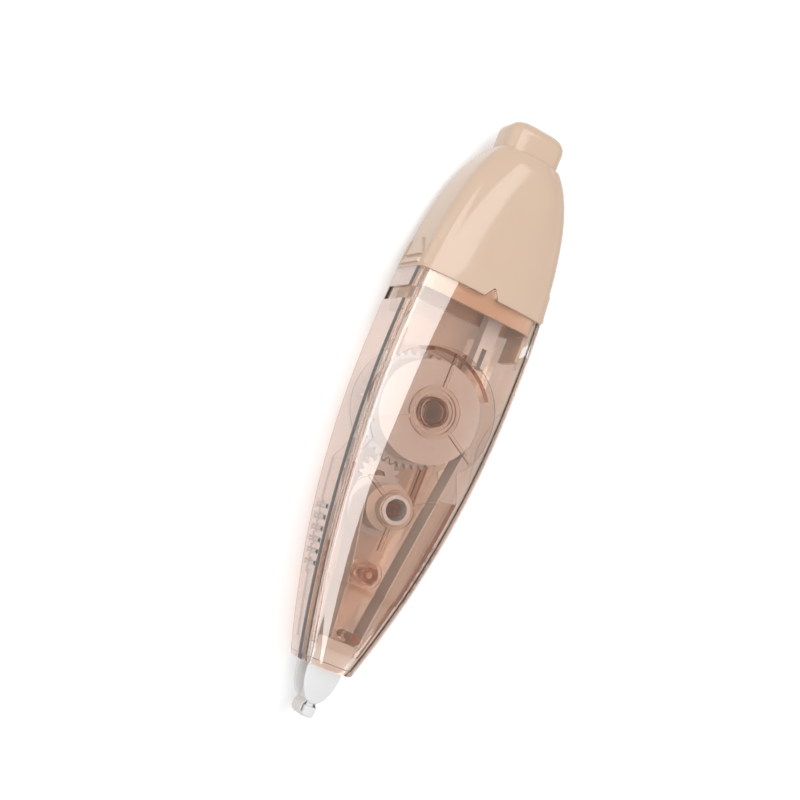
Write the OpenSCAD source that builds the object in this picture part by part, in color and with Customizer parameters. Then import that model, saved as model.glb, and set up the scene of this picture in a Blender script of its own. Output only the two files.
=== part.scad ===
// Push-button correction tape roller with a refill core.
// It lies on its back: X is the width, +Y runs from the tip to the button, +Z is the front face.

/* [Barrel] */
// Length of the clear barrel, from the nose rim to the cap seam
barrel_len = 79; // [76:1:84]
// Largest width of the body
body_w = 30.2; // [29.8:0.2:33]
// Largest depth of the body
body_d = 17; // [16.4:0.2:19]
// Width of the nose rim
nose_w = 11.8; // [11.4:0.2:13]
// Depth of the nose rim
nose_d = 10.8; // [10.6:0.2:12]
// Place of the widest section, from the nose rim
widest_y = 63; // [60:1:66]
// Place where the tapering nose ends and the flat faces start
flat_y = 50; // [46:1:52]
// Wall of the barrel shells
barrel_wall = 1.4; // [1.1:0.1:1.6]
// Radius of the body's long edges
edge_r = 2.5; // [1.8:0.1:2.6]
// Height of the front shell's side walls
front_h = 3.2; // [2.8:0.1:4]
// Height of the pointed tab at the top of the front shell
tab_h = 2.2; // [1.4:0.1:3]
// Width of the pointed tab
tab_w = 3.2; // [2:0.2:5]
// Sideways place of the pointed tab
tab_x = 1.2; // [-4:0.2:4]

/* [Grip and latch] */
// Number of grip ribs on each side face
grip_count = 6; // [3:1:8]
// Step from one grip rib to the next
grip_step = 2.2; // [1.6:0.1:2.4]
// Place of the lowest grip rib
grip_y = 18; // [14:1:20]
// Length of a grip rib
grip_len = 6; // [4:0.2:6.6]
// Radius of a grip rib
grip_r = 0.5; // [0.4:0.05:0.8]
// Strip left between the latch windows and the parting line
window_rim = 0.8; // [0.6:0.1:2]
// Height of the latch windows
window_h = 2.8; // [2.2:0.1:3.2]
// Place of the latch windows' lower edge, below the cap seam
window_drop = 7; // [6.4:0.1:7.4]

/* [Cap] */
// Length of the cap, from the seam to its top rim
cap_len = 30.2; // [29.5:0.1:30.4]
// Height of the point that the cap's rounded sides run towards, over the seam
cap_peak = 34; // [33.8:0.1:36]
// Wall of the cap
cap_wall = 1.6; // [1.2:0.1:1.6]
// Length of the spigot inside the barrel mouth
spigot_len = 3.2; // [2.6:0.1:4]
// Wall of the spigot
spigot_wall = 1; // [0.8:0.05:1.1]
// Length of the latch tongues below the spigot
tongue_len = 5.6; // [5:0.1:5.8]
// Thickness of the latch tongues
tongue_t = 0.8; // [0.6:0.05:0.85]

/* [Button] */
// Width of the push button
button_w = 12.8; // [11:0.1:13]
// Depth of the push button
button_d = 9.4; // [8:0.1:10]
// Height of the button above the cap's rim
button_out = 7.2; // [6:0.2:9]
// Height of the button's dome
button_dome = 3; // [1:0.1:3.4]
// Travel of the button and of the tip
stroke = 11; // [8:0.5:11]
// Diameter of the button's stem
stem_d = 4.4; // [3.6:0.1:5]
// Diameter of the spring wire
wire_d = 0.6; // [0.4:0.05:0.7]
// Mean diameter of the return spring
spring_d = 6.4; // [6.2:0.1:8]
// Turns of the return spring
spring_turns = 5; // [3:1:5]

/* [Reels] */
// Module of the gears
gear_m = 0.5; // [0.48:0.005:0.505]
// Teeth of the supply gear
supply_teeth = 46; // [44:1:46]
// Teeth of the idler gear
idler_teeth = 14; // [13:1:15]
// Teeth of the take-up pinion
takeup_teeth = 10; // [10:1:11]
// Thickness of the gears
gear_t = 1.1; // [0.8:0.05:1.2]
// Place of the supply reel, from the nose rim
supply_y = 54; // [53:0.5:55]
// Sideways offset of the idler gear from the line between the reels
idler_out = 1.8; // [1:0.1:2.4]
// Width of the correction tape
tape_w = 5; // [4:0.1:5]
// Thickness of the tape runs
tape_t = 0.2; // [0.15:0.05:0.3]
// Diameter of the full supply roll
roll_d = 20.6; // [16:0.2:21]
// How far the front disc of the supply reel stands out past the full roll
disc_rim = 0.2; // [0.1:0.05:0.4]
// Thickness of the front disc
disc_t = 0.8; // [0.6:0.1:1]
// Diameter of the supply axle
axle_d = 6; // [5:0.1:6.4]
// Diameter of the used liner roll
liner_d = 9.4; // [8:0.2:11]
// Diameter of the take-up flange
flange_d = 12; // [11.4:0.2:12.6]

/* [Core] */
// Depth of the core over its two plates
core_d = 10.3; // [10.2:0.1:10.4]
// Thickness of the core plates
plate_t = 0.6; // [0.5:0.05:0.65]
// Place where the core becomes deeper
core_step_y = 16; // [16:0.5:18]
// Place of the core's lower end
core_low_y = 4; // [3.6:0.1:4.4]
// Place of the upper end of the core's side walls
core_wall_y = 39; // [36:0.5:40]
// Thickness of the core's side walls
core_wall = 0.9; // [0.6:0.05:1]
// Diameter of the guide roller
guide_d = 5; // [4:0.1:5.4]
// Place of the guide roller, from the nose rim
guide_y = 19.8; // [19.4:0.1:20.6]

/* [Tip] */
// Length of the tip outside the nose rim
tip_out = 9.7; // [9:0.1:12]
// Width of the tip's cheeks
cheek_w = 8; // [6:0.1:8.2]
// Thickness of a cheek
cheek_t = 0.7; // [0.6:0.05:0.75]
// Thickness of the web between the cheeks
web_t = 1.4; // [1:0.1:1.8]
// Width of the head bar
head_w = 2.8; // [2.4:0.1:3.4]
// Height of the head bar
head_h = 2; // [1.8:0.1:2.6]
// Length of the head bar, along the depth
head_d = 7; // [6.4:0.1:7.2]

/* [Clearances] */
// Gap between a shaft and its bore, on the radius
run_gap = 0.08; // [0.05:0.01:0.1]
// Gap between parts that pass each other
pass_gap = 0.3; // [0.25:0.01:0.35]
// Gap between the cap's spigot and the barrel
spigot_gap = 0.25; // [0.2:0.01:0.3]
// Gap between the core and the barrel's side walls
core_gap = 0.6; // [0.55:0.01:0.65]
// Gap round the button in the cap's rim
button_gap = 0.2; // [0.15:0.01:0.25]

/* [Hidden] */
$fn = 48;

// Colours
clear_pink = [0.86, 0.70, 0.62, 0.35];
clear_core = [0.88, 0.74, 0.64, 0.35];
beige = [0.87, 0.77, 0.69];
reel_beige = [0.78, 0.70, 0.65];
tape_white = [0.95, 0.94, 0.93];
liner_tan = [0.80, 0.70, 0.60];
steel = [0.72, 0.73, 0.75];

// Places along the body
seam_y = barrel_len;
top_y = seam_y + cap_len;
button_top_y = top_y + button_out;
mid_y = (button_top_y - tip_out - tape_t) / 2;
peak_y = seam_y + cap_peak;
cap_flat_y = seam_y + 7;
nose_power = 2;
cap_power_w = 2.35;
cap_power_d = 3.4;
over_travel = 0.5;

// Share of the full size that is left part of the way to the cap's peak
function dome_share(u, power) = pow(1 - pow(u, power), 1 / power);

// Half width and half depth of the body at a place along it
function half_w(y) = y < widest_y
    ? nose_w / 2 + (body_w - nose_w) / 2 * (1 - pow(1 - y / widest_y, nose_power))
    : body_w / 2 * dome_share((y - widest_y) / (peak_y - widest_y), cap_power_w);
function half_d(y) = y < flat_y
    ? nose_d / 2 + (body_d - nose_d) / 2 * (1 - pow(1 - y / flat_y, 2))
    : body_d / 2 * (y <= cap_flat_y ? 1 : dome_share((y - cap_flat_y) / (peak_y - cap_flat_y), cap_power_d));

// Rounded sections, as points in X and Z
corner_steps = 5;
least_r = 0.6;
function corner(cx, cz, r, from) =
    [for (i = [0:corner_steps]) [cx + r * cos(from + 90 * i / corner_steps),
                                 cz + r * sin(from + 90 * i / corner_steps)]];
function upper_corners(w, d, r) = concat(corner(w - r, d - r, r, 0), corner(r - w, d - r, r, 90));
function lower_corners(w, d, r) = concat(corner(r - w, r - d, r, 180), corner(w - r, r - d, r, 270));
function ring(w, d, r) = concat(upper_corners(w, d, r), lower_corners(w, d, r));
function front_half(w, d, r, part_z) = concat([[w, part_z]], upper_corners(w, d, r), [[-w, part_z]]);
function back_half(w, d, r, part_z) = concat([[-w, part_z]], lower_corners(w, d, r), [[w, part_z]]);
function inset_r(inset) = max(edge_r - inset, least_r);
function lift(section, y) = [for (p = section) [p[0], y, p[1]]];
function flat(lists) = [for (l = lists, p = l) p];

// A shell between two lofted skins. Each skin is a list of sections with equally many points.
module loft_shell(outer, inner, closed) {
    stations = len(outer);
    count = len(outer[0]);
    last = closed ? count - 1 : count - 2;
    half = stations * count;
    points = concat(flat(outer), flat(inner));
    function o(i, j) = i * count + j % count;
    function n(i, j) = half + i * count + j % count;
    skins = [for (i = [0:stations - 2], j = [0:last]) each [
        [o(i, j), o(i, j + 1), o(i + 1, j + 1)], [o(i, j), o(i + 1, j + 1), o(i + 1, j)],
        [n(i, j), n(i + 1, j + 1), n(i, j + 1)], [n(i, j), n(i + 1, j), n(i + 1, j + 1)]]];
    e = stations - 1;
    ends = [for (j = [0:last]) each [
        [o(0, j), n(0, j), n(0, j + 1)], [o(0, j), n(0, j + 1), o(0, j + 1)],
        [o(e, j), n(e, j + 1), n(e, j)], [o(e, j), o(e, j + 1), n(e, j + 1)]]];
    m = count - 1;
    sides = closed ? [] : [for (i = [0:e - 1]) each [
        [o(i, 0), o(i + 1, 0), n(i + 1, 0)], [o(i, 0), n(i + 1, 0), n(i, 0)],
        [n(i, m), n(i + 1, m), o(i + 1, m)], [n(i, m), o(i + 1, m), o(i, m)]]];
    polyhedron(points, concat(skins, ends, sides));
}

// A closed solid through a list of equally long sections
module loft_solid(sections) {
    stations = len(sections);
    count = len(sections[0]);
    function o(i, j) = i * count + j % count;
    skin = [for (i = [0:stations - 2], j = [0:count - 1]) each [
        [o(i, j), o(i, j + 1), o(i + 1, j + 1)], [o(i, j), o(i + 1, j + 1), o(i + 1, j)]]];
    low = [for (j = [count - 1:-1:0]) o(0, j)];
    high = [for (j = [0:count - 1]) o(stations - 1, j)];
    polyhedron(flat(sections), concat(skin, [low, high]));
}

// The body lies on its back with the middle of its box over the origin
module lay() {
    translate([0, -mid_y, body_d / 2]) children();
}

// An extrusion along Z between two heights
module slab(z0, z1) {
    translate([0, 0, z0]) linear_extrude(z1 - z0) children();
}

// A box given by its limits
module span(x, y, z) {
    translate([x[0], y[0], z[0]]) cube([x[1] - x[0], y[1] - y[0], z[1] - z[0]]);
}

// A pin or tube along Z
module post(x, y, z0, z1, r) {
    translate([x, y, z0]) cylinder(h = z1 - z0, r = r);
}
module pipe(x, y, z0, z1, r, bore_r) {
    cut = 1;
    difference() {
        post(x, y, z0, z1, r);
        post(x, y, z0 - cut, z1 + cut, bore_r);
    }
}

// Barrel
barrel_steps = 14;
barrel_y = [for (i = [0:barrel_steps]) barrel_len * i / barrel_steps];
function part_z(y) = half_d(y) - front_h;
window_y = seam_y - window_drop;
window_len = body_d - 2 * (front_h + window_rim);
window_fit = pass_gap;
tongue_x = half_w(seam_y) - barrel_wall - spigot_gap;
rib_drop = 0.3;
rail_x = 7;
rail_w = 1.2;
rail_lead = 14;
rail_from = flat_y - rail_lead;
rail_to = seam_y - spigot_len - tongue_len - 2 * over_travel;

module latch_windows() {
    cut_x = body_w;
    for (side = [-1, 1])
        translate([side * (tongue_x + cut_x / 2 - 1), window_y + window_h / 2, 0])
            cube([cut_x, window_h, window_len], center = true);
}

// The pointed tab of the front shell, and with more room the notch for it in the cap
module pointed_tab(half, height) {
    root = 1;
    polygon([[tab_x - half, seam_y - root], [tab_x + half, seam_y - root], [tab_x + half, seam_y],
             [tab_x, seam_y + height], [tab_x - half, seam_y]]);
}

module barrel_front() {
    color(clear_pink) lay() {
        loft_shell([for (y = barrel_y) lift(front_half(half_w(y), half_d(y), edge_r, part_z(y)), y)],
                   [for (y = barrel_y) lift(front_half(half_w(y) - barrel_wall, half_d(y) - barrel_wall,
                                                       inset_r(barrel_wall), part_z(y)), y)], false);
        slab(body_d / 2 - barrel_wall, body_d / 2)
            pointed_tab(tab_w / 2, tab_h);
    }
}

module barrel_back() {
    rib_top = part_z(grip_y) - rib_drop;
    color(clear_pink) lay() {
        difference() {
            loft_shell([for (y = barrel_y) lift(back_half(half_w(y), half_d(y), edge_r, part_z(y)), y)],
                       [for (y = barrel_y) lift(back_half(half_w(y) - barrel_wall, half_d(y) - barrel_wall,
                                                          inset_r(barrel_wall), part_z(y)), y)], false);
            latch_windows();
        }
        for (side = [-1, 1]) {
            for (i = [0:grip_count - 1]) {
                y = grip_y + i * grip_step;
                post(side * half_w(y), y, rib_top - grip_len, rib_top, grip_r);
            }
            span([side * rail_x - rail_w / 2, side * rail_x + rail_w / 2], [rail_from, rail_to],
                 [-half_d(rail_from) + barrel_wall / 2, -core_d / 2 - pass_gap]);
        }
    }
}

// Cap
spigot_y = seam_y - spigot_len;
spigot_out = barrel_wall + spigot_gap;
spigot_in = spigot_out + spigot_wall;
collar_h = 3;
cap_steps = 12;
open_w = button_w / 2 + button_gap;
open_d = button_d / 2 + button_gap;
button_r = 2.4;
// Stations of the cap: place, place that gives the size, insets of the outer and the inner skin
cap_stations = concat(
    [[spigot_y, seam_y, spigot_out, spigot_in], [seam_y, seam_y, spigot_out, spigot_in],
     [seam_y, seam_y, 0, spigot_in], [seam_y + collar_h, seam_y + collar_h, 0, spigot_in]],
    [for (i = [1:cap_steps]) let (y = seam_y + collar_h + (cap_len - collar_h) * sin(90 * i / cap_steps))
        [y, y, 0, cap_wall]]);

module cap_shell() {
    notch_gap = 0.25;
    color(beige) lay() {
        difference() {
            loft_shell(
                [for (s = cap_stations)
                    lift(ring(half_w(s[1]) - s[2], half_d(s[1]) - s[2], edge_r), s[0])],
                [for (s = cap_stations)
                    lift(ring(max(half_w(s[1]) - s[3], open_w), max(half_d(s[1]) - s[3], open_d),
                              s[3] == cap_wall ? button_r : inset_r(s[3])), s[0])], true);
            slab(body_d / 2 - spigot_out, body_d / 2 + 1)
                pointed_tab(tab_w / 2 + notch_gap, tab_h + 2 * notch_gap);
        }
        for (side = [-1, 1]) mirror([side < 0 ? 1 : 0, 0, 0])
            span([tongue_x - tongue_t, tongue_x], [spigot_y - tongue_len, spigot_y + 1],
                 [-window_len / 2 + window_fit, window_len / 2 - window_fit]);
    }
}

// Button, its rod, cam, guide and spring
flange_h = 2;
stop_out = 0.6;
flange_y = top_y - stroke - 5.5;
stem_low_y = seam_y + 0.4;
guide_t = 1.2;
guide_low_y = seam_y + 1;
cam_h = 2.6;
cam_gap = 0.2;
cam_y = flange_y - cam_gap - cam_h;
rod_x = 6.6;
rod_w = 3;
rod_d = 3;
prong_w = 1;
arch_r = supply_teeth * gear_m / 2 + gear_m + 0.4;
arch_t = 0.8;
rod_low_y = supply_y + sqrt(pow(arch_r + arch_t, 2) - pow(rod_x - rod_w / 2, 2)) + pass_gap;

module push_button() {
    dome_steps = 5;
    wall_top = button_top_y - button_dome;
    dome = [for (i = [1:dome_steps]) 90 * i / (dome_steps + 1)];
    color(beige) lay() {
        loft_solid(concat(
            [lift(ring(button_w / 2, button_d / 2, button_r), flange_y),
             lift(ring(button_w / 2, button_d / 2, button_r), wall_top)],
            [for (a = dome) lift(ring(button_w / 2 * cos(a * 0.62), button_d / 2 * cos(a * 0.62),
                                      button_r * cos(a * 0.62)), wall_top + button_dome * sin(a) / sin(75))]));
        for (side = [0, 1]) mirror([side, 0, 0])
            span([button_w / 2 - 1, open_w + stop_out], [flange_y, flange_y + flange_h],
                 [-button_d / 4, button_d / 4]);
        translate([0, flange_y + 1, 0]) rotate([90, 0, 0]) cylinder(h = flange_y + 1 - stem_low_y, d = stem_d);
    }
}

module push_rod() {
    color(reel_beige) lay() {
        span([rod_x - rod_w / 2, rod_x + rod_w / 2], [rod_low_y + 4, flange_y], [-rod_d / 2, rod_d / 2]);
        for (side = [-1, 1]) {
            x = rod_x + side * (rod_w - prong_w) / 2;
            span([x - prong_w / 2, x + prong_w / 2], [rod_low_y, rod_low_y + 5], [-rod_d / 2, rod_d / 2]);
        }
    }
}

module click_cam() {
    fins = 4;
    fin_w = 1;
    ring_r = stem_d / 2 + 1.4;
    fin_r = ring_r + 0.8;
    color(reel_beige) lay() translate([0, cam_y + cam_h, 0]) rotate([90, 0, 0]) difference() {
        union() {
            cylinder(h = cam_h, r = ring_r);
            for (i = [0:fins - 1]) rotate(45 + 360 / fins * i)
                translate([0, -fin_w / 2, 0]) cube([fin_r, fin_w, cam_h]);
        }
        translate([0, 0, -1]) cylinder(h = cam_h + 2, r = stem_d / 2 + run_gap);
    }
}

module button_guide() {
    end_gap = 0.15;
    reach = half_w(guide_low_y + guide_t) - spigot_in - end_gap;
    depth = half_d(guide_low_y + guide_t) - spigot_in - end_gap;
    color(reel_beige) lay() difference() {
        span([-reach, reach], [guide_low_y, guide_low_y + guide_t], [-depth + edge_r, depth - edge_r]);
        translate([0, guide_low_y + guide_t + 1, 0]) rotate([90, 0, 0])
            cylinder(h = guide_t + 2, r = stem_d / 2 + run_gap);
        span([rod_x - rod_w / 2 - pass_gap, rod_x + rod_w / 2 + pass_gap],
             [guide_low_y - 1, guide_low_y + guide_t + 1], [-rod_d / 2 - pass_gap, rod_d / 2 + pass_gap]);
    }
}

// Return spring: one unbroken tube of six sides with eight rings to a curl
spring_rings = 8;
spring_sides = 6;
spring_low = guide_low_y + guide_t + 0.1 + wire_d / 2;
spring_high = cam_y - 0.1 - wire_d / 2;
spring_pitch = (spring_high - spring_low) / spring_turns;
function spring_point(i) = [spring_d / 2 * cos(360 * i / spring_rings),
                            spring_low + spring_pitch * i / spring_rings,
                            spring_d / 2 * sin(360 * i / spring_rings)];
spring_count = spring_rings * spring_turns;
spring_gap = min([for (i = [0:spring_count - spring_rings])
                  norm(spring_point(i + spring_rings) - spring_point(i))]) - wire_d;
echo(spring_least_gap = spring_gap);

function spring_section(i) = let (p = spring_point(i), a = 360 * i / spring_rings)
    [for (k = [0:spring_sides - 1]) let (b = -360 * k / spring_sides)
        p + wire_d / 2 * [cos(b) * cos(a), sin(b), cos(b) * sin(a)]];

module return_spring() {
    color(steel) lay() loft_solid([for (i = [0:spring_count]) spring_section(i)]);
}

// Gears, with involute flanks
pressure = 25;
addendum = 0.8;
dedendum = 1.05;
tooth_share = 0.4;
flank_steps = 3;
function inv(a) = tan(a) * 180 / PI - a;
function flank_half(r, teeth) = let (rp = teeth * gear_m / 2, rb = rp * cos(pressure))
    90 * 2 * tooth_share / teeth + inv(pressure) - (r > rb ? inv(acos(rb / r)) : 0);
function tooth(teeth) = let (rp = teeth * gear_m / 2, r0 = rp - dedendum * gear_m, r1 = rp + addendum * gear_m)
    [for (i = [0:flank_steps]) let (r = r0 + (r1 - r0) * i / flank_steps) [r, flank_half(r, teeth)]];
module gear_outline(teeth, phase) {
    side = tooth(teeth);
    polygon([for (k = [0:teeth - 1]) let (a = phase + 360 * k / teeth) each concat(
        [for (i = [0:flank_steps]) side[i][0] * [cos(a - side[i][1]), sin(a - side[i][1])]],
        [for (i = [flank_steps:-1:0]) side[i][0] * [cos(a + side[i][1]), sin(a + side[i][1])]])]);
}

// Phase of a gear that meshes with another, which has a tooth at its own phase
function mesh_phase(teeth, phase, other_teeth, heading) =
    heading + 180 - 360 / other_teeth * (0.5 - (heading - phase) * teeth / 360);

// Places of the three axes. The idler touches both other gears, on their left.
supply_r = supply_teeth * gear_m / 2;
idler_r = idler_teeth * gear_m / 2;
takeup_r = takeup_teeth * gear_m / 2;
idler_x = -idler_out;
idler_y = supply_y - sqrt(pow(supply_r + idler_r, 2) - pow(idler_out, 2));
takeup_y = idler_y - sqrt(pow(takeup_r + idler_r, 2) - pow(idler_out, 2));
to_idler = atan2(idler_y - supply_y, idler_x);
to_takeup = atan2(takeup_y - idler_y, -idler_x);
supply_phase = 0;
idler_phase = mesh_phase(supply_teeth, supply_phase, idler_teeth, to_idler);
takeup_phase = mesh_phase(idler_teeth, idler_phase, takeup_teeth, to_takeup);

// Heights of the core's layers, from the middle plane
plate_z = -core_d / 2 + plate_t;
gear_z = plate_z + 0.25;
gear_top = gear_z + gear_t;
tape_z = tape_w / 2;
flange_z = gear_top + 0.15;
hub_r = axle_d / 2 + 1.6;
disc_d = roll_d + 2 * disc_rim;
idler_pin_r = 0.95;
takeup_pin_r = 1.4;
takeup_hub_r = 2.95;
takeup_hub_wall = 0.75;
boss_h = 0.9;
takeup_top = core_d / 2 + boss_h;
clutch_r = hub_r + 1.5;
part_gap = 0.05;
seat_gap = 0.02; // play where the core's clear pieces seat on each other
cheek_z = tape_z + 2 * part_gap;
core_nose_in = cheek_z + cheek_t + part_gap;
core_nose_out = core_nose_in + plate_t;

module supply_gear() {
    color(reel_beige) lay() difference() {
        union() {
            translate([0, supply_y, 0]) slab(gear_z, gear_top) gear_outline(supply_teeth, supply_phase);
            pipe(0, supply_y, gear_top - part_gap, -tape_z - part_gap, clutch_r + 1, clutch_r + part_gap);
        }
        post(0, supply_y, gear_z - 1, gear_top + 1, axle_d / 2 + run_gap);
    }
}

module clutch_ring() {
    color(steel) lay()
        pipe(0, supply_y, gear_top, -tape_z - part_gap, clutch_r, hub_r + part_gap);
}

module supply_spool() {
    color(reel_beige) lay() difference() {
        union() {
            post(0, supply_y, gear_top, tape_z + part_gap + disc_t, hub_r);
            post(0, supply_y, tape_z + part_gap, tape_z + part_gap + disc_t, disc_d / 2);
        }
        post(0, supply_y, gear_top - 1, tape_z + disc_t + 1, axle_d / 2 + run_gap);
    }
}

module tape_roll() {
    color(tape_white) lay() pipe(0, supply_y, -tape_z, tape_z, roll_d / 2, hub_r + part_gap);
}

module idler_gear() {
    color(reel_beige) lay() difference() {
        translate([idler_x, idler_y, 0]) slab(gear_z, gear_top) gear_outline(idler_teeth, idler_phase);
        post(idler_x, idler_y, gear_z - 1, gear_top + 1, idler_pin_r + run_gap);
    }
}

module takeup_reel() {
    color(reel_beige) lay() difference() {
        union() {
            translate([0, takeup_y, 0]) slab(gear_z, flange_z + part_gap)
                gear_outline(takeup_teeth, takeup_phase);
            post(0, takeup_y, flange_z, -tape_z - part_gap, flange_d / 2);
            post(0, takeup_y, flange_z, takeup_top, takeup_hub_r);
        }
        post(0, takeup_y, gear_z - 1, core_d, takeup_pin_r + run_gap);
        post(0, takeup_y, -tape_z, core_d, takeup_hub_r - takeup_hub_wall);
    }
}

module liner_roll() {
    color(liner_tan) lay() pipe(0, takeup_y, -tape_z, tape_z, liner_d / 2, takeup_hub_r + part_gap);
}

// Core
function core_half(y) = half_w(y) - barrel_wall - core_gap;
core_rows = 6;
function rows(y0, y1) = [for (i = [0:core_rows]) y0 + (y1 - y0) * i / core_rows];
plate_r = arch_r + arch_t;
guide_x = 0.4;
pin_wall = 0.8;
pin_x = 3;
pin_y = 7.3;
lower_pin_r = 1;

// Outline of the core between two places along it
module core_outline(y0, y1, inset = 0) {
    ys = rows(y0, y1);
    polygon(concat([for (y = ys) [core_half(y) - inset, y]],
                   [for (i = [core_rows:-1:0]) [inset - core_half(ys[i]), ys[i]]]));
}
module core_plate() {
    core_outline(core_step_y, core_wall_y);
    neck = plate_r * 0.7;
    polygon([[-core_half(core_wall_y), core_wall_y], [core_half(core_wall_y), core_wall_y],
             [neck, supply_y - neck], [-neck, supply_y - neck]]);
    translate([0, supply_y]) circle(plate_r);
}
module side_band(y0, y1, side) {
    ys = rows(y0, y1);
    polygon(concat([for (y = ys) [side * core_half(y), y]],
                   [for (i = [core_rows:-1:0]) [side * (core_half(ys[i]) - core_wall), ys[i]]]));
}
module side_wall(side, foot) {
    slab(plate_z + foot, -plate_z - seat_gap) side_band(core_step_y, core_wall_y, side);
    slab(-core_nose_in + foot, core_nose_in - seat_gap) side_band(core_low_y, core_step_y + 1, side);
}
module core_shelf(z0, z1) {
    slab(z0, z1) core_outline(core_step_y, core_step_y + 1, core_wall + part_gap);
}

// A moulded tube that carries a reel, from one core plate to the other
module hollow_pin(x, y, r) {
    pipe(x, y, plate_z - part_gap, -plate_z - seat_gap, r, r - pin_wall);
}

module core_frame() {
    color(clear_core) lay() {
        slab(-core_d / 2, plate_z) core_plate();
        slab(-core_nose_out, -core_nose_in) core_outline(core_low_y, core_step_y);
        core_shelf(-core_d / 2, -core_nose_in);
        side_wall(-1, 0);
        hollow_pin(0, supply_y, axle_d / 2);
        post(idler_x, idler_y, plate_z - part_gap, gear_top, idler_pin_r);
        hollow_pin(0, takeup_y, takeup_pin_r);
        hollow_pin(guide_x, guide_y, guide_d / 2 - 1);
    }
}

module core_rail() {
    color(clear_core) lay() side_wall(1, seat_gap);
}

guide_boss_h = 0.25;
rib_w = 0.7;
rib_h = 0.7;
supply_boss_r = 5.3;
hub_ring_r = 3.7;
guide_boss_r = 2.2;
boss_t = 0.8;
takeup_hole_r = takeup_hub_r + run_gap;
supply_reach = 12.6;
takeup_reach = 8.6;

// Three ribs that run out from a boss, one of them at the given heading
module rib_star(y, heading, from, to) {
    for (turn = [0, 120, 240])
        translate([0, y]) rotate(heading + turn) translate([from, -rib_w / 2]) square([to - from, rib_w]);
}

module core_cover() {
    cover_z = core_d / 2;
    color(clear_core) lay() {
        difference() {
            slab(-plate_z, cover_z) core_plate();
            post(0, takeup_y, -plate_z - 1, cover_z + 1, takeup_hole_r);
        }
        slab(core_nose_in, core_nose_out) core_outline(core_low_y, core_step_y);
        core_shelf(core_nose_in, cover_z);
        for (r = [supply_boss_r, hub_ring_r])
            pipe(0, supply_y, cover_z - part_gap, cover_z + boss_h, r, r - boss_t);
        pipe(0, takeup_y, cover_z - part_gap, cover_z + rib_h, takeup_hole_r + boss_t, takeup_hole_r);
        pipe(guide_x, guide_y, cover_z - part_gap, cover_z + guide_boss_h, guide_boss_r, guide_boss_r - boss_t);
        slab(cover_z - part_gap, cover_z + rib_h) {
            rib_star(supply_y, 90, supply_boss_r - boss_t / 2, supply_reach);
            rib_star(takeup_y, 30, takeup_hole_r + boss_t / 2, takeup_reach);
        }
    }
}

module core_arch() {
    from = 32;
    to = 105;
    steps = 18;
    arc = [for (i = [0:steps]) from + (to - from) * i / steps];
    color(clear_core) lay() translate([0, supply_y, 0]) slab(plate_z + seat_gap, rod_d / 2)
        polygon(concat([for (a = arc) (arch_r + arch_t) * [cos(a), sin(a)]],
                       [for (i = [steps:-1:0]) arch_r * [cos(arc[i]), sin(arc[i])]]));
}

module guide_roller() {
    lip = 0.6;
    color(reel_beige) lay() difference() {
        union() {
            post(guide_x, guide_y, -tape_z - 2 * part_gap, tape_z + 2 * part_gap, guide_d / 2);
            for (z = [-tape_z - 2 * part_gap - lip, tape_z + 2 * part_gap])
                post(guide_x, guide_y, z, z + lip, guide_d / 2 + lip);
        }
        post(guide_x, guide_y, -core_d, core_d, guide_d / 2 - 1 + run_gap);
    }
}

module lower_pin() {
    color(clear_core) lay() post(pin_x, pin_y, -core_nose_in + seat_gap, core_nose_in - seat_gap, lower_pin_r);
}

// Tip
head_y = -tip_out;
cheek_y = head_y + head_h + 1.1;
tip_root_y = core_low_y + 2;

module applicator_tip() {
    steps = 16;
    rim = [for (i = [0:steps]) 180 + 180 * i / steps];
    cheek_len = -cheek_y;
    color(tape_white) lay() {
        for (z = [-cheek_z - cheek_t, cheek_z]) slab(z, z + cheek_t)
            polygon(concat([for (a = rim) [cheek_w / 2 * cos(a), cheek_len * sin(a)]],
                           [[cheek_w / 2, tip_root_y], [-cheek_w / 2, tip_root_y]]));
        span([-web_t / 2, web_t / 2], [head_y + head_h - 0.5, tip_root_y], [-cheek_z, cheek_z]);
        slab(-head_d / 2, head_d / 2)
            polygon([[-head_w / 2, head_y + head_h], [-head_w / 2, head_y + head_h * 0.35],
                     [-head_w / 4, head_y], [head_w / 4, head_y],
                     [head_w / 2, head_y + head_h * 0.35], [head_w / 2, head_y + head_h]]);
    }
}

// Tape runs: a thin band along a line of points, thickened to its outer side
module band(points, t) {
    count = len(points);
    function dir(i) = let (a = points[max(i - 1, 0)], b = points[min(i + 1, count - 1)]) (b - a) / norm(b - a);
    function out(i) = points[i] + t * [-dir(i)[1], dir(i)[0]];
    slab(-tape_z, tape_z) polygon(concat(points, [for (i = [count - 1:-1:0]) out(i)]));
}

run_x = web_t / 2 + part_gap;
run_r = roll_d / 2 + pass_gap;
lead_turn = 8;
lead_step = 4;
pin_run_r = lower_pin_r + pass_gap;
pin_turn = [-52:11:-8];
module fresh_tape() {
    color(tape_white) lay() band([
        [0, head_y], [head_w / 4, head_y], [head_w / 2, head_y + head_h * 0.35],
        [head_w / 2, head_y + head_h], [run_x, head_y + head_h + 1], [run_x, core_low_y],
        each [for (a = pin_turn) [pin_x, pin_y] + pin_run_r * [cos(a), sin(a)]],
        each [for (a = [lead_turn:-lead_step:0]) [run_r * cos(a), supply_y - run_r * sin(a)]]], -tape_t);
}

module used_liner() {
    color(liner_tan) lay() band([
        [0, head_y], [-head_w / 4, head_y], [-head_w / 2, head_y + head_h * 0.35],
        [-head_w / 2, head_y + head_h], [-run_x, head_y + head_h + 1], [-run_x, core_low_y],
        [guide_x - guide_d / 2 - pass_gap, guide_y], [-liner_d / 2 - pass_gap, takeup_y]], tape_t);
}

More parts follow.
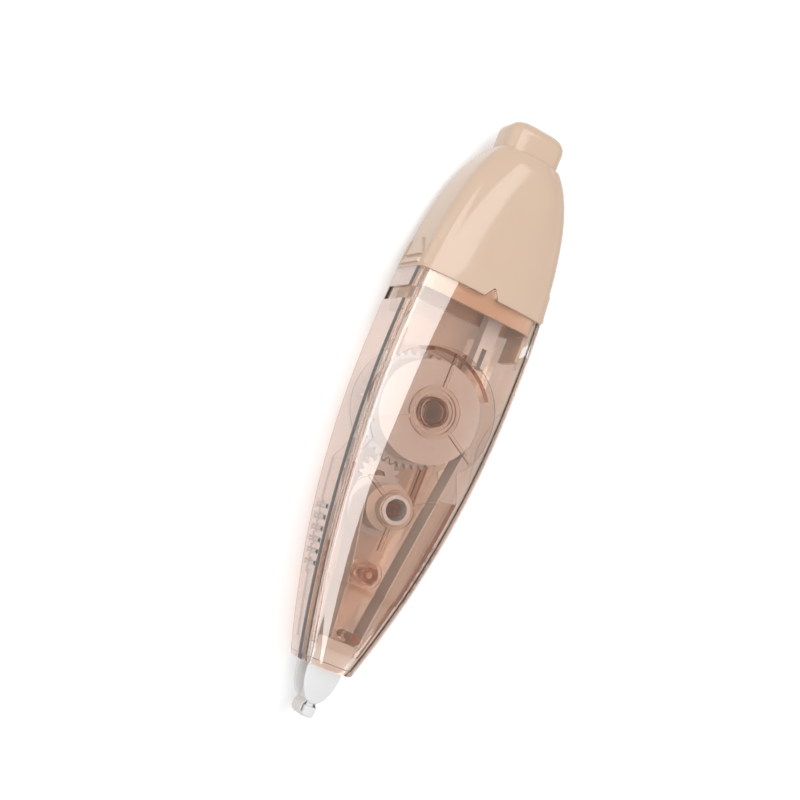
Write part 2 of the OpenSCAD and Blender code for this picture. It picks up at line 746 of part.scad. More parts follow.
barrel_front();
barrel_back();
cap_shell();
button_guide();
return_spring();
push_button();
push_rod();
click_cam();
core_frame();
core_rail();
core_cover();
core_arch();
applicator_tip();
guide_roller();
lower_pin();
fresh_tape();
used_liner();
supply_gear();
supply_spool();
tape_roll();
clutch_ring();
idler_gear();
takeup_reel();
liner_roll();
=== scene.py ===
"""Looks of a push-button correction tape roller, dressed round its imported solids."""
import math

import bmesh
import bpy
from mathutils import Matrix, Vector


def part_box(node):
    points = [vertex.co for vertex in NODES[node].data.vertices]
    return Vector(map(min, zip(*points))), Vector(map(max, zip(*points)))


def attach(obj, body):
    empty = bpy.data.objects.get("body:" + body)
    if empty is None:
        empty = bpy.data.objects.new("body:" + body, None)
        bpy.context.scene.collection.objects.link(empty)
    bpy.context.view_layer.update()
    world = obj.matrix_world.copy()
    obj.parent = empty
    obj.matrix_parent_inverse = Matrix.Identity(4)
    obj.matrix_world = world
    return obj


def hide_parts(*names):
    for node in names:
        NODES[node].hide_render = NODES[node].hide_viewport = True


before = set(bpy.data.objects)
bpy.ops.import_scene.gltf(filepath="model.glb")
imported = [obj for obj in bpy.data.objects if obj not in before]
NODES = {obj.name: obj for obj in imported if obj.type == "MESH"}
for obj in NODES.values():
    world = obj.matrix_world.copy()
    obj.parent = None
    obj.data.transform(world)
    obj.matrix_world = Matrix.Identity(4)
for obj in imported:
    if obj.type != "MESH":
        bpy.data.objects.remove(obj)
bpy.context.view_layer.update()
MM = 0.001

# Places on the solids, in millimetres. Y runs from the nose rim and Z from the middle plane.
BARREL_LOW, BARREL_HIGH = (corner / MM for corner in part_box("barrel_back"))
CAP_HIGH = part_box("cap_shell")[1] / MM
BUTTON_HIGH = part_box("push_button")[1] / MM
TIP_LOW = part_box("applicator_tip")[0] / MM
NOSE_AT = BARREL_LOW.y
BODY_W = BARREL_HIGH.x - BARREL_LOW.x
BODY_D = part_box("barrel_front")[1].z / MM
SEAM = BARREL_HIGH.y - NOSE_AT
TOP = CAP_HIGH.y - NOSE_AT
BUTTON_TOP = BUTTON_HIGH.y - NOSE_AT
TIP_END = TIP_LOW.y - NOSE_AT

# Sizes of the shells, as the solids have them
NOSE_W, NOSE_D = 11.8, 10.8
WIDEST, FLAT = 63, 50
PEAK, CAP_FLAT = SEAM + 34, SEAM + 7
NOSE_POWER, CAP_POWER_W, CAP_POWER_D = 2.0, 2.35, 3.4
EDGE_R = 2.5
WALL, CAP_WALL = 1.4, 1.6
FRONT_H = 3.2
SPIGOT_LEN, SPIGOT_GAP, SPIGOT_WALL, COLLAR_H = 3.2, 0.25, 1.0, 3
TONGUE_LEN, TONGUE_T, TONGUE_ROOM = 5.6, 0.8, 0.3
TAB_X, TAB_W, TAB_H = 1.2, 3.2, 2.2
WINDOW_DROP, WINDOW_H, WINDOW_BACK = 7.0, 2.8, 4.5
RAIL_X, RAIL_W, RAIL_TOP = 7, 1.2, -5.45
RAIL_START, RAIL_END = 36, 69.2
GRIPS, GRIP_Y, GRIP_STEP, GRIP_LEN, GRIP_DROP = 6, 18, 2.2, 6.0, 0.3
BUTTON_W, BUTTON_D, BUTTON_R, BUTTON_DOME, BUTTON_GAP = 12.8, 9.4, 2.4, 3.0, 0.2
STROKE, FLANGE_DROP = 11, 5.5

# Finish of the shells that only the scene has: a thinner back wall, crowned faces, fine gaps, rounded rims,
# windows that reach into the front shell, and grips with sloped sides
BACK_WALL, LEAST_WALL = 0.8, 0.4
PART_RISE, PART_GAP, SEAM_GAP = 0.42, 0.02, 0.05
CROWN, CROWN_POWER = 1.0, 3
LEAST_R = 0.8
TAB_R, TAB_ROOM, TAB_SINK, TAB_FOOT = 0.35, 0.15, 0.05, 0.2
WINDOW_FRONT = 6.3
NOSE_R, LIP, LIP_LEN, LIP_SLOPE = 0.4, 0.25, 1.2, 0.1
GRIP_H, GRIP_W, GRIP_SLOPE = 0.3, 1.0, 0.35
FINE_BEVEL, TONGUE_BEVEL, LUG_BEVEL = 0.1, 0.2, 0.15
OVERLAP = 1


def at(x, y, z):
    """A place on the body, in metres in the frame."""
    return Vector((x, NOSE_AT + y, BODY_D / 2 + z)) * MM


def dome_share(u, power):
    """Share of the full size that is left part of the way to the cap's peak."""
    return (1 - u ** power) ** (1 / power)


def half_w(y):
    """Half the width of the body at a place along it."""
    if y < WIDEST:
        return NOSE_W / 2 + (BODY_W - NOSE_W) / 2 * (1 - (1 - y / WIDEST) ** NOSE_POWER)
    return BODY_W / 2 * dome_share((y - WIDEST) / (PEAK - WIDEST), CAP_POWER_W)


def half_d(y):
    """Half the depth of the body at a place along it."""
    if y < FLAT:
        return NOSE_D / 2 + (BODY_D - NOSE_D) / 2 * (1 - (1 - y / FLAT) ** 2)
    if y <= CAP_FLAT:
        return BODY_D / 2
    return BODY_D / 2 * dome_share((y - CAP_FLAT) / (PEAK - CAP_FLAT), CAP_POWER_D)


def steps(start, end, count):
    """Evenly spaced numbers, both ends included."""
    return [start + (end - start) * i / count for i in range(count + 1)]


# Sections, as points in X and Z in millimetres
CORNER_STEPS = 8
FACE_STEPS = 24


def corner(cx, cz, r, start, end):
    turn = [math.radians(a) for a in steps(start, end, CORNER_STEPS)]
    return [(cx + r * math.cos(a), cz + r * math.sin(a)) for a in turn]


def front_arch(w, d, r, crown, start=0):
    """The front of a section, from its right side over a slightly crowned face to its left side."""
    flat = w - r
    edge = d - crown - r
    face = [(x, d - crown * abs(x / flat) ** CROWN_POWER) for x in steps(flat, -flat, FACE_STEPS)[1:-1]]
    return corner(flat, edge, r, start, 90) + face + corner(-flat, edge, r, 90, 180 - start)


def back_arch(w, d, r, crown):
    """The back of a section, from its left side to its right side."""
    return [(-x, -z) for x, z in front_arch(w, d, r, crown)]


def ring(w, d, r, crown):
    return front_arch(w, d, r, crown) + back_arch(w, d, r, crown)


def lifted(section, y):
    return [at(x, y, z) for x, z in section]


# Meshes. Edges that turn by more degrees than this stay sharp.
SHARP = 35


def add(name, mesh):
    obj = bpy.data.objects.new(name, mesh)
    bpy.context.scene.collection.objects.link(obj)
    return obj


def from_bmesh(name, bm):
    """A smooth-shaded object with its sharp edges kept, from a bmesh that is used up."""
    bmesh.ops.remove_doubles(bm, verts=bm.verts, dist=1e-7)
    bmesh.ops.recalc_face_normals(bm, faces=bm.faces)
    if bm.calc_volume(signed=True) < 0:
        bmesh.ops.reverse_faces(bm, faces=bm.faces)
    mesh = bpy.data.meshes.new(name)
    bm.to_mesh(mesh)
    bm.free()
    soften(mesh)
    return add(name, mesh)


def soften(mesh):
    for polygon in mesh.polygons:
        polygon.use_smooth = True
    mesh.set_sharp_from_angle(angle=math.radians(SHARP))


def grid(bm, rows, closed):
    """Faces between rows of points; returns the rows of vertices."""
    made = [[bm.verts.new(p) for p in row] for row in rows]
    for low, high in zip(made, made[1:]):
        count = len(low)
        for j in range(count if closed else count - 1):
            k = (j + 1) % count
            bm.faces.new((low[j], low[k], high[k], high[j]))
    return made


def shell(name, outer, inner, closed):
    """A wall between two skins of sections with equally many points."""
    bm = bmesh.new()
    out = grid(bm, outer, closed)
    within = grid(bm, inner, closed)
    for end in (0, -1):
        count = len(out[end])
        for j in range(count if closed else count - 1):
            k = (j + 1) % count
            bm.faces.new((out[end][j], out[end][k], within[end][k], within[end][j]))
    if not closed:
        for side in (0, -1):
            for i in range(len(out) - 1):
                bm.faces.new((out[i][side], out[i + 1][side], within[i + 1][side], within[i][side]))
    return from_bmesh(name, bm)


def solid(name, sections):
    """A closed solid through equally long sections."""
    bm = bmesh.new()
    rows = grid(bm, sections, True)
    bm.faces.new(rows[0])
    bm.faces.new(rows[-1])
    return from_bmesh(name, bm)


def prism(name, outline, z0, z1, bevel=0.0, segments=3):
    """An outline in X and Y, extruded along Z, with its edges rounded."""
    bm = bmesh.new()
    rows = grid(bm, [[at(x, y, z) for x, y in outline] for z in (z0, z1)], True)
    caps = [bm.faces.new(row) for row in rows]
    bmesh.ops.recalc_face_normals(bm, faces=bm.faces)
    if bevel:
        rims = list({edge for face in caps for edge in face.edges})
        bmesh.ops.bevel(bm, geom=rims, offset=bevel * MM, segments=segments, profile=0.5, affect="EDGES")
    return from_bmesh(name, bm)


def block(name, x, y, z, bevel=0.0):
    """A box given by its limits."""
    return prism(name, [(x[0], y[0]), (x[1], y[0]), (x[1], y[1]), (x[0], y[1])], z[0], z[1], bevel)


def combine(target, tool, operation):
    """Join a tool to a target, or cut it out, and use the tool up."""
    modifier = target.modifiers.new("combine", "BOOLEAN")
    modifier.operation = operation
    modifier.solver = "EXACT"
    modifier.object = tool
    bpy.context.view_layer.update()
    done = target.evaluated_get(bpy.context.evaluated_depsgraph_get())
    mesh = bpy.data.meshes.new_from_object(done)
    target.modifiers.clear()
    target.data = mesh
    soften(mesh)
    bpy.data.objects.remove(tool)


def join(name, parts):
    """One object out of several."""
    bm = bmesh.new()
    for part in parts:
        bm.from_mesh(part.data)
        bpy.data.objects.remove(part)
    mesh = bpy.data.meshes.new(name)
    bm.to_mesh(mesh)
    bm.free()
    soften(mesh)
    return add(name, mesh)


# Materials
NOISE_DETAIL = 3.0
CLEAR_IOR, COAT_IOR, SHADOW_THROUGH = 1.45, 1.75, 0.93
# What a metre of the clear plastic absorbs of red, green and blue light
TAKEN_PER_M = (98, 208, 285)


def start(name):
    material = bpy.data.materials.new(name)
    material.use_nodes = True
    tree = material.node_tree
    return material, tree, tree.nodes["Principled BSDF"]


def noise(tree, scale):
    """Noise over the object's own coordinates; the scale is in waves per metre."""
    place = tree.nodes.new("ShaderNodeTexCoord")
    texture = tree.nodes.new("ShaderNodeTexNoise")
    texture.inputs["Scale"].default_value = scale
    texture.inputs["Detail"].default_value = NOISE_DETAIL
    tree.links.new(place.outputs["Object"], texture.inputs["Vector"])
    return texture.outputs["Fac"]


def between(tree, factor, low, high):
    """A colour that drifts between two shades."""
    mix = tree.nodes.new("ShaderNodeMix")
    mix.data_type = "RGBA"
    mix.inputs["A"].default_value = (*low, 1)
    mix.inputs["B"].default_value = (*high, 1)
    tree.links.new(factor, mix.inputs["Factor"])
    return mix.outputs["Result"]


def span(tree, factor, low, high):
    """A number that drifts between two values."""
    fit = tree.nodes.new("ShaderNodeMapRange")
    fit.inputs["To Min"].default_value = low
    fit.inputs["To Max"].default_value = high
    tree.links.new(factor, fit.inputs["Value"])
    return fit.outputs["Result"]


def grain(tree, shader, scale, strength, distance):
    """Fine moulding grain."""
    bump = tree.nodes.new("ShaderNodeBump")
    bump.inputs["Strength"].default_value = strength
    bump.inputs["Distance"].default_value = distance
    tree.links.new(noise(tree, scale), bump.inputs["Height"])
    tree.links.new(bump.outputs["Normal"], shader.inputs["Normal"])


def shade(colour, amount):
    return tuple(c * amount for c in colour)


def plastic(name, colour, rough, spread=0.04, metallic=0.0, shine=0.5):
    """Moulded plastic, or metal: slow drifts of shade and of gloss, and a fine grain."""
    material, tree, shader = start(name)
    drift = noise(tree, 60)
    tree.links.new(between(tree, drift, shade(colour, 1 - spread), shade(colour, 1 + spread)),
                   shader.inputs["Base Color"])
    tree.links.new(span(tree, noise(tree, 300), rough - 0.05, rough + 0.05), shader.inputs["Roughness"])
    shader.inputs["Metallic"].default_value = metallic
    shader.inputs["Specular IOR Level"].default_value = shine
    grain(tree, shader, 2500, 0.05, 0.00005)
    return material


def clear(name, rough, coat, taken_per_m):
    """Tinted see-through plastic that lets the lamps in. A ray loses more the deeper it runs through it."""
    material, tree, shader = start(name)
    tone = between(tree, noise(tree, 40), (0.97, 0.97, 0.97), (1, 1, 1))
    tree.links.new(tone, shader.inputs["Base Color"])
    tree.links.new(span(tree, noise(tree, 250), rough, rough * 2), shader.inputs["Roughness"])
    shader.inputs["Transmission Weight"].default_value = 1.0
    shader.inputs["IOR"].default_value = CLEAR_IOR
    shader.inputs["Coat Weight"].default_value = coat
    shader.inputs["Coat IOR"].default_value = COAT_IOR
    shader.inputs["Coat Roughness"].default_value = rough
    through = tree.nodes.new("ShaderNodeBsdfTransparent")
    through.inputs["Color"].default_value = (SHADOW_THROUGH, SHADOW_THROUGH, SHADOW_THROUGH, 1)
    path = tree.nodes.new("ShaderNodeLightPath")
    mix = tree.nodes.new("ShaderNodeMixShader")
    end = tree.nodes["Material Output"]
    tree.links.new(path.outputs["Is Shadow Ray"], mix.inputs["Fac"])
    tree.links.new(shader.outputs["BSDF"], mix.inputs[1])
    tree.links.new(through.outputs["BSDF"], mix.inputs[2])
    tree.links.new(mix.outputs["Shader"], end.inputs["Surface"])
    depth = tree.nodes.new("ShaderNodeVolumeAbsorption")
    most = max(taken_per_m)
    depth.inputs["Color"].default_value = (*(1 - taken / most for taken in taken_per_m), 1)
    depth.inputs["Density"].default_value = most
    tree.links.new(depth.outputs["Volume"], end.inputs["Volume"])
    return material


CLEAR_SHELL = clear("clear shell", 0.01, 1.0, TAKEN_PER_M)
CLEAR_BACK = clear("clear back", 0.01, 1.0, shade(TAKEN_PER_M, 1.8))
CLEAR_CORE = clear("clear core", 0.015, 0.0, shade(TAKEN_PER_M, 0.65))
CLEAR_PALE = clear("clear pale", 0.02, 0.0, shade(TAKEN_PER_M, 0.25))
CAP_PLASTIC = plastic("cap plastic", (0.73, 0.54, 0.41), 0.1, shine=0.35)
REEL_PLASTIC = plastic("reel plastic", (0.79, 0.80, 0.84), 0.4)
TIP_PLASTIC = plastic("tip plastic", (0.86, 0.86, 0.87), 0.3, 0.02)
TAPE_FILM = plastic("tape film", (0.84, 0.84, 0.85), 0.5, 0.03)
LINER_FILM = plastic("liner film", (0.80, 0.76, 0.73), 0.35)
STEEL = plastic("spring steel", (0.60, 0.61, 0.63), 0.3, 0.05, 1.0)


def dress(piece, body, slot, material, *nodes):
    """Give a piece its material and its body, and hide the solids that it stands for. The slot is not used.
    """
    piece.data.materials.clear()
    piece.data.materials.append(material)
    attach(piece, body)
    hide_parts(*nodes)


# Barrel
def barrel_stations():
    """Places along the barrel, each with the insets of both skins: a rounded rim, a low lip, plain walls."""
    rim = [(NOSE_R * (1 - math.cos(a)), NOSE_R * (1 - math.sin(a))) for a in steps(0, math.pi / 2, 5)]
    stations = [(y, inset, WALL + LIP) for y, inset in rim + [(LIP_LEN, 0)]]
    return stations + [(y, 0, WALL) for y in steps(LIP_LEN + LIP_SLOPE, SEAM - SEAM_GAP, 64)]


def part_z(y, inset=0.0):
    """Height of the parting faces of the two shells, which rise a little inwards."""
    return half_d(y) - FRONT_H + PART_RISE * inset / WALL


def side_x(y, z):
    """Half the width of the body at a height on its side."""
    past = max(abs(z) - (half_d(y) - CROWN - EDGE_R), 0)
    return half_w(y) - EDGE_R + math.sqrt(EDGE_R ** 2 - past ** 2)


def bead(side, z, low, high, wide, rise):
    """A round-topped bead along one side of the body at a height on it."""
    ends = [math.radians(a) for a in steps(80, 0, 4)]
    path = [(low - wide / 2 * math.sin(a), math.cos(a)) for a in ends]
    path += [(high + wide / 2 * math.sin(a), math.cos(a)) for a in reversed(ends)]
    rows = []
    for y, size in path:
        turn = steps(0, 2 * math.pi, 16)[:-1]
        across = [(z + wide / 2 * size * math.cos(a), rise * size * math.sin(a)) for a in turn]
        rows.append([at(side * (side_x(y, place) + out), y, place) for place, out in across])
    return solid("bead", rows)


def inset_corners(corners, inset):
    """The corners of a figure with straight sides, moved inwards."""
    corners = [Vector(place) for place in corners]
    moved = []
    for i, place in enumerate(corners):
        before = (corners[i - 1] - place).normalized()
        after = (corners[(i + 1) % len(corners)] - place).normalized()
        moved.append(place + (before + after).normalized() * (inset / math.sin(before.angle(after) / 2)))
    return moved


def raised(side, corners, slope, rise):
    """A flat raised figure with sloping sides on one side of the body, given by its corners in Y and Z."""
    rows = [[at(side * (side_x(y, z) + out), y, z) for y, z in inset_corners(corners, inset)]
            for inset, out in ((0, -rise), (0, 0), (slope, rise))]
    return solid("mark", rows)


def skin_r(inset):
    return max(EDGE_R - inset, LEAST_R)


def skin_crown(inset):
    """The crown of a skin. Inner skins are flatter, which leaves the pieces inside their room."""
    return min(max(CROWN + LEAST_WALL - inset, 0), CROWN)


def front_section(y, inset):
    w, d, r, crown = half_w(y) - inset, half_d(y) - inset, skin_r(inset), skin_crown(inset)
    start = math.degrees(math.asin((part_z(y, inset) - (d - crown - r)) / r))
    return lifted(front_arch(w, d, r, crown, start), y)


def back_section(y, inset):
    w, d = half_w(y) - inset, half_d(y) - inset
    rim = part_z(y, inset) - PART_GAP
    return lifted([(-w, rim)] + back_arch(w, d, skin_r(inset), skin_crown(inset)) + [(w, rim)], y)


def tab_outline(room):
    """The pointed tab of the front shell, or with some room round it the notch for it."""
    half, height = TAB_W / 2 + room, TAB_H + room
    lean = math.atan2(half, height)
    centre = SEAM + height - TAB_R / math.sin(lean)
    turn = steps(lean, math.pi - lean, 6)
    tip = [(TAB_X + TAB_R * math.cos(a), centre + TAB_R * math.sin(a)) for a in turn]
    foot = SEAM - TAB_FOOT
    left, right = TAB_X - half, TAB_X + half
    return [(left, foot - OVERLAP), (right, foot - OVERLAP), (right, foot)] + tip + [(left, foot)]


def tongue_x():
    """Outer face of the cap's tongues."""
    return half_w(SEAM) - WALL - SPIGOT_GAP


def make_barrel():
    stations = barrel_stations()
    front = shell("shell_front", [front_section(y, out) for y, out, within in stations],
                  [front_section(y, within) for y, out, within in stations], False)
    tab = prism("tab", tab_outline(0), BODY_D / 2 - WALL + 2 * TAB_SINK, BODY_D / 2 - TAB_SINK)
    combine(front, tab, "UNION")
    back = shell("shell_back", [back_section(y, out) for y, out, within in stations],
                 [back_section(y, within - WALL + BACK_WALL) for y, out, within in stations], False)
    window_y = SEAM - WINDOW_DROP
    for side in (-1, 1):
        across = sorted((side * (tongue_x() - OVERLAP), side * BODY_W))
        for half in (front, back):
            window = block("window", across, (window_y, window_y + WINDOW_H), (-WINDOW_BACK, WINDOW_FRONT))
            combine(half, window, "DIFFERENCE")
        across = (side * RAIL_X - RAIL_W / 2, side * RAIL_X + RAIL_W / 2)
        foot = BACK_WALL / 2 - half_d(RAIL_START)
        combine(back, block("rail", across, (RAIL_START, RAIL_END), (foot, RAIL_TOP), FINE_BEVEL), "UNION")
        front_end = part_z(GRIP_Y) - GRIP_DROP
        back_end = front_end - GRIP_LEN
        for i in range(GRIPS):
            low = GRIP_Y + i * GRIP_STEP - GRIP_W / 2
            high = low + GRIP_W
            corners = [(low, back_end), (low, front_end), (high, front_end), (high, back_end)]
            combine(back, raised(side, corners, GRIP_SLOPE, GRIP_H), "UNION")
    dress(front, "barrel", "clear_shell", CLEAR_SHELL, "barrel_front")
    dress(back, "barrel", "clear_shell", CLEAR_BACK, "barrel_back")


# Cap and button
CAP_ROUND = 0.25
MARK_H, MARK_SLOPE = 0.55, 0.12
# Raised marks on the cap's sides: a bar and an arrow, given by their corners in Y and Z, and two low beads
# that run up from the seam, given by their heights on the side
CAP_MARKS = [
    [(SEAM + 0.7, -3.5), (SEAM + 0.7, 5.2), (SEAM + 1.7, 5.2), (SEAM + 1.7, -3.5)],
    [(SEAM + 2.5, -3.2), (SEAM + 2.5, 5.2), (SEAM + 6.7, 1.1)],
]
CAP_BEADS, BEAD_START, BEAD_END, BEAD_W, BEAD_H = [6.6, -4.8], 1, 5.8, 1.2, 0.25


def make_cap():
    spigot_out = WALL + SPIGOT_GAP
    spigot_in = spigot_out + SPIGOT_WALL
    collar = SEAM + COLLAR_H
    open_w, open_d = BUTTON_W / 2 + BUTTON_GAP, BUTTON_D / 2 + BUTTON_GAP
    rise = [collar + (TOP - collar) * math.sin(math.radians(a)) for a in steps(0, 90, 40)[1:]]
    # Place, place that gives the size, inset of the outer skin, inset of the inner skin
    stations = [(SEAM - SPIGOT_LEN, SEAM, spigot_out, spigot_in), (SEAM, SEAM, spigot_out, spigot_in)]
    stations += [(SEAM + CAP_ROUND * (1 - math.cos(a)), SEAM, CAP_ROUND * (1 - math.sin(a)), spigot_in)
                 for a in steps(0, math.pi / 2, 4)]
    stations.append((collar, collar, 0, spigot_in))
    stations += [(y, y, 0, CAP_WALL) for y in rise]
    outer = []
    inner = []
    for y, size_y, out, within in stations:
        w, d = half_w(size_y), half_d(size_y)
        outer.append(lifted(ring(w - out, d - out, EDGE_R, skin_crown(out)), y))
        w, d = max(w - within, open_w), max(d - within, open_d)
        turn_r = BUTTON_R if within == CAP_WALL else skin_r(within)
        inner.append(lifted(ring(w, d, turn_r, skin_crown(within)), y))
    cap = shell("cap_body", outer, inner, True)
    notch = prism("notch", tab_outline(TAB_ROOM), BODY_D / 2 - spigot_out, BODY_D / 2 + OVERLAP)
    combine(cap, notch, "DIFFERENCE")
    low = SEAM - SPIGOT_LEN
    tongue_z = WINDOW_BACK - TONGUE_ROOM
    for side in (-1, 1):
        x = sorted((side * tongue_x(), side * (tongue_x() - TONGUE_T)))
        tongue = block("tongue", x, (low - TONGUE_LEN, low + OVERLAP), (-tongue_z, tongue_z), TONGUE_BEVEL)
        combine(cap, tongue, "UNION")
        for corners in CAP_MARKS:
            combine(cap, raised(side, corners, MARK_SLOPE, MARK_H), "UNION")
        for z in CAP_BEADS:
            combine(cap, bead(side, z, SEAM + BEAD_START, SEAM + BEAD_END, BEAD_W, BEAD_H), "UNION")
    dress(cap, "cap", "cap", CAP_PLASTIC, "cap_shell")


BUTTON_CROWN = 0.1
STEM_R = 2.2
LUG_IN, LUG_OUT, LUG_H = 1, 0.6, 2


def make_button():
    """A domed block on a stem, with a lug on either side that stops it in the cap."""
    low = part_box("push_button")[0].y / MM - NOSE_AT
    flange = TOP - STROKE - FLANGE_DROP
    wall_top = BUTTON_TOP - BUTTON_DOME
    half, deep = BUTTON_W / 2, BUTTON_D / 2
    sections = [lifted(ring(half, deep, BUTTON_R, BUTTON_CROWN), y) for y in (flange, wall_top)]
    for a in steps(0, 90, 12)[1:-1]:
        size = math.cos(math.radians(a)) ** 0.5
        rise = BUTTON_DOME * math.sin(math.radians(a))
        outline = ring(half * size, deep * size, BUTTON_R * size, BUTTON_CROWN)
        sections.append(lifted(outline, wall_top + rise))
    body = solid("button_body", sections)
    circle = [(STEM_R * math.cos(a), STEM_R * math.sin(a)) for a in steps(0, 2 * math.pi, 32)[:-1]]
    combine(body, solid("stem", [lifted(circle, y) for y in (low, flange + OVERLAP)]), "UNION")
    for side in (-1, 1):
        x = sorted((side * (half - LUG_IN), side * (half + BUTTON_GAP + LUG_OUT)))
        combine(body, block("lug", x, (flange, flange + LUG_H), (-deep / 2, deep / 2), LUG_BEVEL), "UNION")
    dress(body, "button", "cap", CAP_PLASTIC, "push_button")


# Tip, with a slimmer head and cheeks than its solid
CHEEK_W, CHEEK_T, CHEEK_Z = 7.3, 0.7, 2.6
HEAD_W, HEAD_H, HEAD_D = 2.2, 2.0, 7.0
NECK_H, WEB_T, WEB_IN = 0.6, 1.4, 0.5
TIP_ROOT = 6.0
# Shares of the head's width and height that its lower edge and its shoulders take
EDGE_SHARE, SHOULDER_SHARE = 0.4, 0.2
CHEEK_BEVEL, HEAD_BEVEL, TIP_SEGMENTS = 0.25, 0.12, 4


def make_tip():
    """Two rounded cheeks joined by a web, with a bar across the end that presses the tape down."""
    cheek_len = -TIP_END - HEAD_H - NECK_H
    turn = steps(math.pi, 2 * math.pi, 28)
    outline = [(CHEEK_W / 2 * math.cos(a), cheek_len * math.sin(a)) for a in turn]
    outline += [(CHEEK_W / 2, TIP_ROOT), (-CHEEK_W / 2, TIP_ROOT)]
    parts = [prism("cheek", outline, z, z + CHEEK_T, CHEEK_BEVEL, TIP_SEGMENTS)
             for z in (-CHEEK_Z - CHEEK_T, CHEEK_Z)]
    head_top = TIP_END + HEAD_H
    parts.append(block("web", (-WEB_T / 2, WEB_T / 2), (head_top - WEB_IN, TIP_ROOT), (-CHEEK_Z, CHEEK_Z),
                       FINE_BEVEL))
    half, edge, shoulder = HEAD_W / 2, HEAD_W * EDGE_SHARE, TIP_END + HEAD_H * SHOULDER_SHARE
    outline = [(-half, head_top), (-half, shoulder), (-edge, TIP_END), (edge, TIP_END), (half, shoulder),
               (half, head_top)]
    parts.append(prism("head", outline, -HEAD_D / 2, HEAD_D / 2, HEAD_BEVEL, TIP_SEGMENTS))
    dress(join("tip_body", parts), "core", "tip", TIP_PLASTIC, "applicator_tip")


# Materials of the solids that stay
NODE_MATERIALS = {
    CLEAR_CORE: ["core_frame", "core_rail", "core_cover", "core_arch", "lower_pin"],
    CLEAR_PALE: ["guide_roller"],
    REEL_PLASTIC: ["button_guide", "push_rod", "click_cam", "supply_gear", "supply_spool", "idler_gear",
                   "takeup_reel"],
    TAPE_FILM: ["fresh_tape", "tape_roll"],
    LINER_FILM: ["used_liner", "liner_roll"],
    STEEL: ["return_spring", "clutch_ring"],
}


def dress_nodes():
    for material, names in NODE_MATERIALS.items():
        for name in names:
            NODES[name].data.materials.clear()
            NODES[name].data.materials.append(material)


# Stage, with its lengths in metres
FLOOR_SIZE, FLOOR_DROP = 3.0, 0.0003
FLOOR_GLOW, WORLD_STRENGTH = 0.38, 0.38
CLEAR_BOUNCES = 40
# Name, place, target, size, radiance and turn of each lamp
LAMPS = [
    ("softbox", (0.022, 0.155, 0.6), (0.022, 0.155, 0), (0.2, 1.05), 4.2, -22),
    ("side", (-0.5, 0.05, 0.25), (0, 0, 0), (0.5, 0.5), 0.9, 0),
]


def make_floor():
    """A white floor that keeps the shadow and shows as white also through the clear shell."""
    bpy.ops.mesh.primitive_plane_add(size=FLOOR_SIZE, location=(0, 0, -FLOOR_DROP))
    floor = bpy.context.object
    floor.name = "floor"
    material, tree, shader = start("white floor")
    tree.links.new(between(tree, noise(tree, 3), (0.80, 0.80, 0.80), (0.83, 0.83, 0.83)),
                   shader.inputs["Base Color"])
    shader.inputs["Roughness"].default_value = 0.9
    shader.inputs["Specular IOR Level"].default_value = 0.0
    path = tree.nodes.new("ShaderNodeLightPath")
    seen = path.outputs["Is Camera Ray"]
    for other in ("Is Glossy Ray", "Is Transmission Ray"):
        either = tree.nodes.new("ShaderNodeMath")
        either.operation = "MAXIMUM"
        tree.links.new(seen, either.inputs[0])
        tree.links.new(path.outputs[other], either.inputs[1])
        seen = either.outputs["Value"]
    strength = span(tree, seen, 0.0, FLOOR_GLOW)
    shader.inputs["Emission Color"].default_value = (1, 1, 1, 1)
    tree.links.new(strength, shader.inputs["Emission Strength"])
    floor.data.materials.append(material)


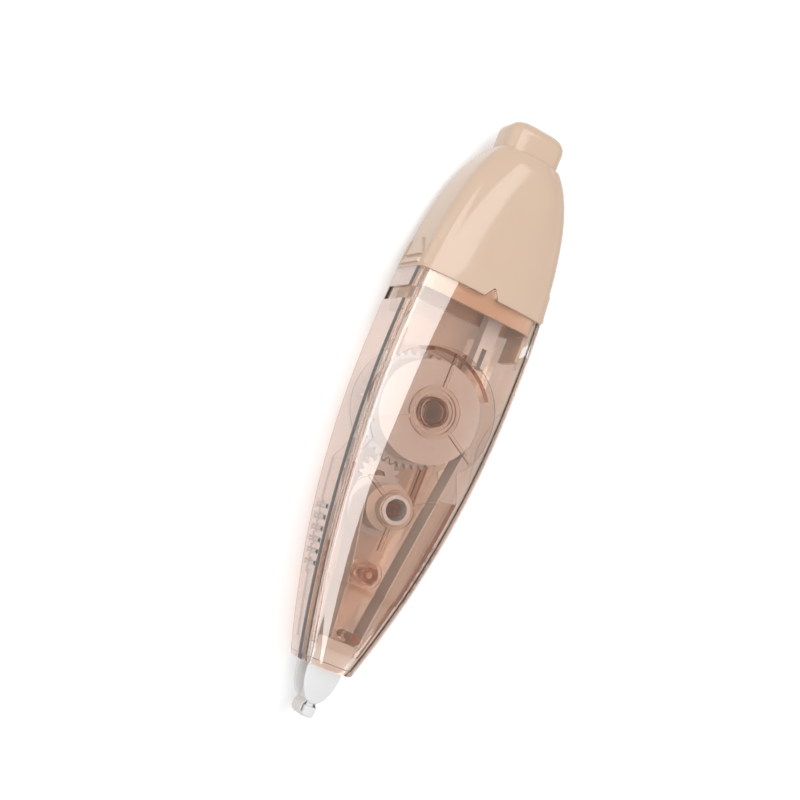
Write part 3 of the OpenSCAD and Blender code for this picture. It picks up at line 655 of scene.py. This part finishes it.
def make_lamp(name, place, target, size, radiance, turn):
    """A soft rectangular lamp that points at a target, with a turn in degrees about its aim."""
    light = bpy.data.lights.new(name, "AREA")
    light.shape = "RECTANGLE"
    light.size, light.size_y = size
    light.energy = radiance * math.pi * size[0] * size[1]
    lamp = bpy.data.objects.new(name, light)
    lamp.location = place
    aim = (Vector(target) - Vector(place)).normalized()
    side = Vector((0, 1, 0)).cross(-aim).normalized()
    spin = Matrix.Rotation(math.radians(turn), 3, "Z")
    lamp.rotation_euler = (Matrix((side, (-aim).cross(side), -aim)).transposed() @ spin).to_euler()
    bpy.context.scene.collection.objects.link(lamp)


def make_lights():
    world = bpy.data.worlds.new("studio")
    bpy.context.scene.world = world
    world.use_nodes = True
    back = world.node_tree.nodes["Background"]
    back.inputs["Color"].default_value = (1, 1, 1, 1)
    back.inputs["Strength"].default_value = WORLD_STRENGTH
    for lamp in LAMPS:
        make_lamp(*lamp)


# Camera, fitted to the photograph: a lens of 1500 pixels over a frame of 800
FOCAL_PX, FRAME_PX, SENSOR_MM = 1500, 800, 36
CAMERA_TURN, CAMERA_ROLL = 22.0, 22.07
CAMERA_FAR, CAMERA_Y = 297.4, 16.0
LOOK_X, LOOK_Y = -5.41, 54.17


def make_camera():
    data = bpy.data.cameras.new("camera")
    data.sensor_fit = "HORIZONTAL"
    data.sensor_width = SENSOR_MM
    data.lens = SENSOR_MM * FOCAL_PX / FRAME_PX
    data.clip_start = 0.01
    data.clip_end = 10
    turn, roll = math.radians(CAMERA_TURN), math.radians(CAMERA_ROLL)
    place = at(-math.sin(turn) * CAMERA_FAR, CAMERA_Y, math.cos(turn) * CAMERA_FAR)
    ahead = (at(LOOK_X, LOOK_Y, 0) - place).normalized()
    level = ahead.cross(Vector((0, 1, 0))).normalized()
    rise = level.cross(ahead)
    right = level * math.cos(roll) + rise * math.sin(roll)
    up = rise * math.cos(roll) - level * math.sin(roll)
    camera = bpy.data.objects.new("camera", data)
    camera.matrix_world = Matrix.Translation(place) @ Matrix((right, up, -ahead)).transposed().to_4x4()
    bpy.context.scene.collection.objects.link(camera)
    bpy.context.scene.camera = camera


def let_light_through():
    """Light crosses many faces of clear plastic before it ends."""
    paths = bpy.context.scene.cycles
    paths.max_bounces = CLEAR_BOUNCES
    paths.glossy_bounces = CLEAR_BOUNCES
    paths.transmission_bounces = CLEAR_BOUNCES
    paths.transparent_max_bounces = CLEAR_BOUNCES


make_camera()
make_barrel()
make_cap()
make_button()
make_tip()
dress_nodes()
make_floor()
make_lights()
let_light_through()
bpy.context.scene.view_settings.view_transform = "Standard"
